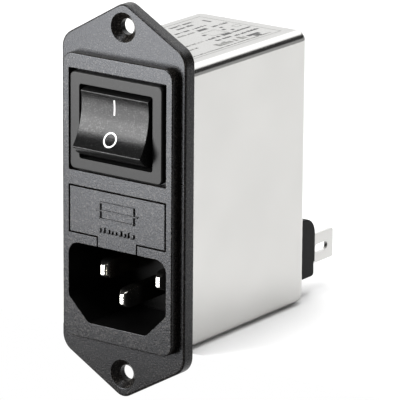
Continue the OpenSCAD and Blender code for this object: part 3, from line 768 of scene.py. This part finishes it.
def inlay(name, left, right, closed, d, r):
    # a band between two rows of x and z points on the face
    def onFace(p, lift):
        x, z = p
        y = -r["faceDepth"] - r["faceRadius"] + math.sqrt(r["faceRadius"] ** 2 - z ** 2)
        return (x, y - lift, z)
    rings = [[onFace(a, d["lift"]), onFace(b, d["lift"]), onFace(b, -d["depth"]), onFace(a, -d["depth"])]
             for a, b in zip(left, right)]
    piece = atRocker(r, loft(name, rings, closed))
    return place(piece, finishes["white"], "rocker_unit")


def makeInlays(d, r):
    x, half, steps = d["x"], d["barWidth"] / 2, d["barSteps"]
    zs = [d["barTop"] + (d["barLow"] - d["barTop"]) * k / steps for k in range(steps + 1)]
    inlay("onMark", [(x - half, z) for z in zs], [(x + half, z) for z in zs], False, d, r)
    inner, outer = ([(x + radius * math.cos(a), d["ringMiddle"] + radius * math.sin(a))
                     for a in angles(d["ringSides"])]
                    for radius in (d["ringOuter"] - d["ringStroke"], d["ringOuter"]))
    inlay("offMark", inner, outer, True, d, r)


pinDims = {
    "nodes": {"linePin": "line_pin", "neutralPin": "neutral_pin", "earthPin": "earth_pin"},
    "width": 2.0,
    "height": 4.0,
    "corner": 0.18,
    "tipWidth": 1.0,
    "tipHeight": 2.2,
    "bevel": 1.6,
    "belly": (0.12, 0.2),  # how the bevel bows out half way along
    "ends": (0.08, 0.1, 0.2),  # length of the soft edge at the tip and at the back, and its inset
    "tipColour": (0.80, 0.78, 0.74),
    # the dark shaft colour is painted shade, not the nickel's own colour
    "shadedShaftColour": (0.16, 0.14, 0.12),
    "rough": 0.17,
    "brightLength": 1.2,
    "shadeLength": 2.0,
}


def makePins(d):
    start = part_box("line_pin")[0].y / mm + d["brightLength"]
    plate = pinPlate("pinNickel", d["tipColour"], d["shadedShaftColour"], d["rough"], start, d["shadeLength"])
    tipSoft, backSoft, inset = d["ends"]
    midW = d["width"] - d["belly"][0]
    midH = (d["tipHeight"] + d["height"]) / 2 + d["belly"][1]
    for name, node in d["nodes"].items():
        low, high = (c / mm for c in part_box(node))
        x, z = (low.x + high.x) / 2, (low.z + high.z) / 2
        sizes = [(low.y, d["tipWidth"] - inset, d["tipHeight"] - inset),
                 (low.y + tipSoft, d["tipWidth"], d["tipHeight"]), (low.y + d["bevel"] / 2, midW, midH),
                 (low.y + d["bevel"], d["width"], d["height"]), (high.y - backSoft, d["width"], d["height"]),
                 (high.y, d["width"] - inset, d["height"] - inset)]
        piece = loft(name, [ringAt(y, boxCorners(w, h, x, z), d["corner"], 0, 3) for y, w, h in sizes])
        place(piece, plate, "module", [node])


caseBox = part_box("filter_can")
caseDims = {
    "width": (caseBox[1].x - caseBox[0].x) / mm,
    "height": (caseBox[1].z - caseBox[0].z) / mm,
    "depth": caseBox[1].y / mm,
    "sheet": 0.5,
    "edge": 2.2,
    "edgeSteps": 10,
    "plug": (23.2, 10.6, -19.1),
    "plugRadius": 0.3,
    "rivetHole": (1.6, 2.2),
    "cutReach": 2,
    "endShare": 0.999,  # how far the closed end's last ring shrinks within the round edge
    "sharpAngle": 24,
}


def caseWall(d, inset):
    # rings of the drawn cup's outer skin, or of its inner one
    w, h = d["width"] - 2 * inset, d["height"] - 2 * inset
    depth, r, steps, share = d["depth"] - inset, d["edge"] - inset, d["edgeSteps"], d["endShare"]
    turns = [math.pi / 2 * k / steps for k in range(steps + 1)]
    ends = [(0.0, 0.0)] + [(depth - r + r * math.sin(a), -r * (1 - math.cos(a)) * share) for a in turns]
    return [ringAt(y, boxCorners(w, h), r, grow, steps) for y, grow in ends]


def makeCase(d):
    outer, inner = caseWall(d, 0), caseWall(d, d["sheet"])
    case = loft("filterCase", list(reversed(inner)) + outer)
    plugW, plugH, plugZ = d["plug"]
    holeR, holeZ = d["rivetHole"]
    near, far = d["depth"] - d["cutReach"], d["depth"] + d["cutReach"]
    cut(case, prism("cutter", boxCorners(plugW, plugH, z=plugZ), d["plugRadius"], near, far, steps=3),
        lathe("cutter", [(holeR, near), (holeR, far)], z=holeZ))
    return place(case, finishes["can"], "module", ["filter_can"], d["sharpAngle"])


# print on the top of the case: rows of small blocks, bars and thin frames, none of it readable
# each row: x, start and end along Y, letter height, and which ink
printDims = {
    "top": caseDims["height"] / 2,
    "lift": 0.012,
    "border": (-10.6, 1.2, 10.2, 37.4),
    "line": 0.12,
    "rows": [
        (-9.0, 3.0, 14.0, 0.8, "ink"), (-9.0, 24.8, 28.4, 0.8, "ink"), (-9.0, 29.2, 32.6, 0.9, "ink"),
        (-7.3, 3.0, 17.0, 0.7, "paleInk"), (-7.3, 24.8, 30.4, 0.9, "ink"), (-5.1, 3.0, 15.0, 0.7, "paleInk"),
        (-5.1, 21.2, 26.0, 0.8, "ink"), (-5.0, 27.2, 31.7, 0.8, "ink"), (-3.1, 19.4, 25.2, 0.7, "paleInk"),
        (-3.0, 31.4, 35.0, 0.7, "ink"), (-3.0, 35.2, 36.7, 0.9, "ink"), (2.9, 6.0, 20.0, 0.7, "paleInk"),
        (2.9, 21.0, 25.8, 0.8, "ink"), (2.9, 30.0, 36.4, 0.8, "ink"), (4.7, 22.2, 27.6, 0.9, "ink"),
        (5.1, 28.0, 36.2, 0.8, "ink"), (5.3, 8.0, 15.2, 0.6, "paleInk"), (7.2, 18.8, 23.8, 1.8, "paleInk"),
        (7.2, 24.6, 28.6, 1.8, "paleInk"), (9.1, 6.0, 35.0, 0.45, "paleInk"),
    ],
    "widths": [0.3, 0.45, 0.6],
    "rises": [0.7, 0.7, 1.0],
    "gaps": [0.16, 0.16, 0.16, 0.7],
    "bars": [
        (-3.1, 26.5, 29.6, 1.0), (2.9, 26.7, 29.6, 1.1), (7.4, 29.4, 33.4, 0.9), (8.4, 30.6, 32.6, 0.9),
        (0.1, 23.8, 24.8, 0.7), (0.2, 30.6, 31.5, 0.7), (-1.3, 31.8, 32.7, 0.6), (1.6, 31.8, 32.7, 0.6),
        (-7.0, 34.7, 35.3, 2.2),
    ],
    "plan": [(-1.3, 25.2, 2.0, 29.8), (-0.4, 34.5, 1.0, 36.4), (-2.0, 3.0, 1.6, 9.5), (-0.8, 4.2, 0.4, 6.6)],
    "planLift": 0.7,  # as a share of the lift of the rest
}


def inkBlock(mesh, x0, y0, x1, y1, top, lift):
    corners = [mesh.verts.new(Vector((x, y, z)) * mm) for z in (top + lift, top - lift)
               for x, y in ((x0, y0), (x1, y0), (x1, y1), (x0, y1))]
    for face in ((0, 1, 2, 3), (7, 6, 5, 4), (0, 4, 5, 1), (1, 5, 6, 2), (2, 6, 7, 3), (3, 7, 4, 0)):
        mesh.faces.new([corners[k] for k in face])


def inkFrame(mesh, x0, y0, x1, y1, line, inset, top, lift):
    # four thin bars round a rectangle; inset keeps the cross bars clear of the long ones
    inkBlock(mesh, x0, y0, x0 + line, y1, top, lift)
    inkBlock(mesh, x1 - line, y0, x1, y1, top, lift)
    inkBlock(mesh, x0 + inset, y0, x1 - inset, y0 + line, top, lift)
    inkBlock(mesh, x0 + inset, y1 - line, x1 - inset, y1, top, lift)


def makePrint(d):
    rng = random.Random(11)
    inks = {"ink": bmesh.new(), "paleInk": bmesh.new()}
    top, lift, line = d["top"], d["lift"], d["line"]
    for x, y0, y1, tall, ink in d["rows"]:
        y = y0
        while y < y1:
            width = tall * rng.choice(d["widths"])
            rise = tall * rng.choice(d["rises"])
            inkBlock(inks[ink], x + tall / 2 - rise, y, x + tall / 2, min(y + width, y1), top, lift)
            y += width + tall * rng.choice(d["gaps"])
    for x, y0, y1, wide in d["bars"]:
        inkBlock(inks["ink"], x - wide / 2, y0, x + wide / 2, y1, top, lift)
    inkFrame(inks["paleInk"], *d["border"], line, line, top, lift)
    for plan in d["plan"]:
        inkFrame(inks["paleInk"], *plan, line, 0, top, lift * d["planLift"])
    for ink, mesh in inks.items():
        piece = objectOf("casePrint" + ink[0].upper() + ink[1:], mesh)
        place(piece, finishes[ink], "module")


terminalDims = {
    "width": 24.4,
    "top": -12.4,
    "bottom": -25.35,
    "topRadius": 3.6,
    "stepRise": 3.0,
    "stepIn": 0.35,
    "stepRadius": 0.8,
    "edge": 0.25,
    "plug": (23.2, -24.4, -13.8, 4.5),  # width, bottom, top, and depth into the case
    "slotPlay": 0.06,
    "slotReach": (6, 2),  # how far the slots run in front of the block and behind it
}
bladeDims = {
    "width": 6.3,
    "thickness": 0.8,
    "x": 11.1,
    "z": -19.9,
    "legWidth": 2.0,
    "nose": 0.3,
    "edge": 0.08,
    "slotRadius": 0.95,
    "slotDrop": 0.1,
    "slotEnds": (-5.8, -3.1),  # middles of the slot's round ends, from the blade's tip
    "slotSteps": 12,
}


def makeTerminalBlock(d, b):
    y0, y1 = caseDims["depth"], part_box("terminal_block")[1].y / mm
    step = d["bottom"] + d["stepRise"]
    inset = y1 - d["stepIn"]
    corners = [(y0, d["bottom"]), (inset, d["bottom"]), (inset, step), (y1, step), (y1, d["top"]),
               (y0, d["top"])]
    half = d["width"] / 2
    piece = prism("terminalBlock", corners, [0, d["stepRadius"], 0, 0, d["topRadius"], 0], -half, half,
                  d["edge"], d["edge"], 10, "X")
    plugW, plugLow, plugHigh, plugDepth = d["plug"]
    join(piece, block("plug", (-plugW / 2, y0 - plugDepth, plugLow), (plugW / 2, y0 + bite, plugHigh)))
    wide, tall = b["thickness"] / 2 + d["slotPlay"], b["width"] / 2 + d["slotPlay"]
    near, far = y0 - d["slotReach"][0], y1 + d["slotReach"][1]
    cut(piece, *[block("cutter", (x - wide, near, b["z"] - tall), (x + wide, far, b["z"] + tall))
                 for x in (-b["x"], b["x"])])
    return place(piece, finishes["block"], "module", ["terminal_block"])


def makeBlade(name, node, side, d):
    low, high = (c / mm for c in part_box(node))
    x, z, w, leg, nose = side * d["x"], d["z"], d["width"] / 2, d["legWidth"] / 2, d["nose"]
    root = caseDims["depth"] - terminalDims["plug"][3]
    tip = high.y
    corners = [(low.y, z - leg), (root, z - leg), (root, z - w), (tip - nose, z - w), (tip, z + nose - w),
               (tip, z + w - nose), (tip - nose, z + w), (root, z + w), (root, z + leg), (low.y, z + leg)]
    half = d["thickness"] / 2
    blade = prism(name, corners, 0, x - half, x + half, d["edge"], d["edge"], axis="X")
    r, steps, slotZ = d["slotRadius"], d["slotSteps"], z - d["slotDrop"]
    near, far = (tip + y for y in d["slotEnds"])
    turns = [math.pi / 2 + math.pi * k / steps for k in range(steps + 1)]
    path = [(near + r * math.cos(a), slotZ + r * math.sin(a)) for a in turns]
    path += [(far - r * math.cos(a), slotZ - r * math.sin(a)) for a in turns]
    cut(blade, loft("cutter", [[(s, y, z) for y, z in path] for s in (x - past, x + past)]))
    return place(blade, finishes["tin"], "module", [node])


earthDims = {
    "sheet": 0.8,
    "edge": 0.08,
    "bladeZ": -3.0,
    "footTop": 3.2,
    "footRadius": 0.3,
    "holeRadius": 0.9,
    "holeBack": 3.4,
    "rivetZ": 2.2,
    "rivetHole": 1.6,
    "rivetReach": 3,
    "rivetShank": 1.58,
    "innerHead": (2.5, 0.8),
    "innerEdge": 0.2,
    "outerHead": (2.7, 0.8),
    "outerEnd": [(2.7, 0.45), (2.45, 0.15), (1.9, 0), (1.0, 0), (0.8, 0.25), (0.05, 0.3)],  # radius, depth
    "roundSides": 32,
}


def makeEarth(d):
    low, high = (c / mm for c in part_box("earth_output_blade"))
    y0, y1 = low.y, high.y
    half, nose = (high.x - low.x) / 2, bladeDims["nose"]
    t, edge, z0 = d["sheet"], d["edge"], d["bladeZ"]
    corners = [(-half, y0), (half, y0), (half, y1 - nose), (half - nose, y1), (nose - half, y1),
               (-half, y1 - nose)]
    layers = ((z0, -edge), (z0 + edge, 0), (z0 + t - edge, 0), (z0 + t, -edge))
    blade = loft("earthBlade", [[(p.x, p.y, z) for p in outline(corners, 0, grow)] for z, grow in layers])
    footTop = d["rivetZ"] + d["footTop"]
    foot = boxCorners(2 * half, footTop - z0, 0, (footTop + z0) / 2)
    join(blade, prism("foot", foot, d["footRadius"], y0, y0 + t, 0, edge, 3))
    r, holeY = d["holeRadius"], y1 - d["holeBack"]
    hole = loft("cutter", [[(r * math.cos(a), holeY + r * math.sin(a), z) for a in angles(d["roundSides"])]
                           for z in (z0 - past, z0 + t + past)])
    reach = (y0 - past, y0 + d["rivetReach"])
    cut(blade, hole, lathe("cutter", [(d["rivetHole"], y) for y in reach], z=d["rivetZ"]))
    place(blade, finishes["tin"], "module", ["earth_output_blade"])


def makeRivet(d):
    # headed inside the case, and closed outside over the earth blade's foot
    (innerR, innerT), (outerR, outerT), shank = d["innerHead"], d["outerHead"], d["rivetShank"]
    front, back = (c.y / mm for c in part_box("earth_rivet"))
    soft = d["innerEdge"]
    profile = [(innerR - soft, front), (innerR, front + soft), (innerR, front + innerT),
               (shank, front + innerT), (shank, back - outerT), (outerR, back - outerT)]
    profile += [(r, back - depth) for r, depth in d["outerEnd"]]
    rivet = lathe("earthRivet", profile, z=d["rivetZ"])
    place(rivet, finishes["nickel"], "module", ["earth_rivet"])


makeFront(frontDims, drawerDims)
print("front made")
makeDrawer(drawerDims, frontDims)
makeSign(signDims, frontDims["bezelFront"])
makeRatingBars(signDims, frontDims["bezelFront"])
print("drawer made")
makeSwitchCase(switchDims)
makeRocker(rockerDims)
makeInlays(inlayDims, rockerDims)
print("switch made")
makePins(pinDims)
makeCase(caseDims)
makePrint(printDims)
print("case made")
makeTerminalBlock(terminalDims, bladeDims)
makeBlade("lineBlade", "line_output_blade", 1, bladeDims)
makeBlade("neutralBlade", "neutral_output_blade", -1, bladeDims)
makeEarth(earthDims)
makeRivet(earthDims)
print("terminals made")

# finishes of the pieces that show as the frame has them
innerFinish = {
    "plunger": ["line_plunger", "neutral_plunger"],
    "springSteel": ["line_plunger_spring", "neutral_plunger_spring"],
    "contactCopper": ["line_lever", "neutral_lever"],
    "brass": ["line_pivot_terminal", "neutral_pivot_terminal", "line_contact_terminal",
              "neutral_contact_terminal", "supply_fuse_clip", "load_fuse_clip"],
    "nickel": ["fuse_caps", "earth_strap"],
    "tin": ["fuse_wire"],
    "glass": ["fuse_glass"],
    "board": ["circuit_board"],
    "ferrite": ["choke_core"],
    "holder": ["choke_divider"],
    "copperWire": ["line_winding", "neutral_winding"],
    "capBox": ["x_capacitor"],
    "capDisc": ["line_y_capacitor", "neutral_y_capacitor"],
    "resistor": ["bleed_resistor"],
    "brownWire": ["line_supply_wire", "fused_line_wire", "line_filter_wire"],
    "blueWire": ["neutral_supply_wire", "neutral_filter_wire"],
}
for key, names in innerFinish.items():
    for name in names:
        nodes[name].data.materials.clear()
        nodes[name].data.materials.append(finishes[key])


# the stops of the skies are pairs of height, from straight down to straight up, and brightness
studio = {
    "azimuth": 35.89,
    "elevation": 16.01,
    "roll": 0.43,
    "distance": 784.05,
    "target": (2.49, 20.0, -4.1),
    "lens": 343.1,
    "sensor": 36.0,
    "clip": (0.01, 50),
    "floorHeight": caseBox[0].z / mm - 0.1,
    "floorTone": (0.87, 0.89),
    "floorNear": 0.3,
    "floorFar": 400,
    "floorSides": (-900, 200),
    "keyPlace": (-146, -208, 29),
    "keyRoll": 15.0,
    "keyWidth": 110,
    "keyCards": {"lowCard": (-64.5, 111, 0.74), "highCard": (43, 104, 1.08)},  # slide, height and power
    "sunFrom": (-0.03, -0.11, 0.98),
    "sunPower": 3.1,
    "sunAngle": 42.0,
    "backSky": [(0, 1), (0.5, 1), (0.58, 1.1), (0.66, 1.15), (0.71, 1.5), (0.77, 2.5), (0.85, 2.5),
                (0.90, 0.5), (1, 0.25)],
    "rightSky": [(0, 1), (0.40, 1), (0.41, 0.48), (0.57, 0.46), (0.585, 0.05), (0.75, 0.05), (0.77, 1.8),
                 (0.85, 1.8), (0.90, 0.5)],
    "frontSky": [(0, 0.12), (0.42, 0.14), (0.52, 0.12), (0.60, 0.04), (1, 0.02)],
    "skyChange": (2.5, 5.0),  # how sharply front turns to back, and left to right
}


def makeCamera(s):
    data = bpy.data.cameras.new("camera")
    data.sensor_width = s["sensor"]
    data.lens = s["lens"]
    data.clip_start, data.clip_end = s["clip"]
    camera = bpy.data.objects.new("camera", data)
    bpy.context.scene.collection.objects.link(camera)
    a, e = math.radians(s["azimuth"]), math.radians(s["elevation"])
    back = Vector((math.sin(a) * math.cos(e), -math.cos(a) * math.cos(e), math.sin(e)))
    camera.location = (Vector(s["target"]) + back * s["distance"]) * mm
    aim = (-back).to_track_quat("-Z", "Y").to_matrix()
    camera.rotation_euler = (aim @ Matrix.Rotation(math.radians(s["roll"]), 3, "Z")).to_euler()
    bpy.context.scene.camera = camera


def makeLight(name, kind, power):
    data = bpy.data.lights.new(name, kind)
    data.energy = power
    light = bpy.data.objects.new(name, data)
    bpy.context.scene.collection.objects.link(light)
    return light, data


def makeCards(s):
    # a tall card in front of the part, turned to face it, in a dim lower part and a bright upper part
    facing = Vector(s["keyPlace"]).to_track_quat("Z", "Y").to_matrix()
    facing = facing @ Matrix.Rotation(math.radians(s["keyRoll"]), 3, "Z")
    for name, (slide, height, power) in s["keyCards"].items():
        light, data = makeLight(name, "AREA", power)
        data.shape = "RECTANGLE"
        data.size, data.size_y = s["keyWidth"] * mm, height * mm
        light.location = (Vector(s["keyPlace"]) + facing @ Vector((0, slide, 0))) * mm
        light.rotation_euler = facing.to_euler()
        light.visible_camera = False


def makeSun(s):
    # the broad ceiling light, far behind the flange
    light, data = makeLight("ceilingLight", "SUN", s["sunPower"])
    data.angle = math.radians(s["sunAngle"])
    light.rotation_euler = Vector(s["sunFrom"]).to_track_quat("Z", "Y").to_euler()


def makeWorld(s):
    # dark in front, bright at the back; at the right back a grey and a black band lie under the bright part
    world = bpy.data.worlds.new("studio")
    bpy.context.scene.world = world
    world.use_nodes = True
    tree = world.node_tree
    start = Wire(tree)
    right, ahead, height = start.node("TexCoord", {}, {}, 0).axes()
    rise = height * 0.5 + 0.5
    backSky, rightSky, frontSky = (
        start.node("ValToRGB", {"stops": [(where, grey(tone)) for where, tone in s[key]]}, {"Fac": rise})
        for key in ("backSky", "rightSky", "frontSky"))
    toBack, toRight = s["skyChange"]
    behind = (right * toRight).clamp().blend(backSky, rightSky)
    sky = (ahead * toBack + 0.5).clamp().blend(frontSky, behind)
    background = next(n for n in tree.nodes if n.type == "BACKGROUND")
    tree.links.new(sky.socket, background.inputs["Color"])
    background.inputs["Strength"].default_value = 1.0


def makeFloor(s):
    # a pale table that starts right behind the flange, so that the flange hangs over its edge
    mesh = bmesh.new()
    (left, right), near, far, z = s["floorSides"], s["floorNear"], s["floorFar"], s["floorHeight"]
    corners = ((left, near, z), (right, near, z), (right, far, z), (left, far, z))
    mesh.faces.new([mesh.verts.new(Vector(p) * mm) for p in corners])
    floor = objectOf("floor", mesh)

    def build(start):
        dull, bright = s["floorTone"]
        return {"Base Color": start.noise(300.0, 1.0).blend(grey(dull), grey(bright))}
    floor.data.materials.append(finish("paleFloor", {"Roughness": 0.9, "Specular IOR Level": 0.1}, build))


makeCamera(studio)
makeCards(studio)
makeSun(studio)
makeWorld(studio)
makeFloor(studio)
bpy.context.scene.view_settings.view_transform = "Standard"
print("studio made")
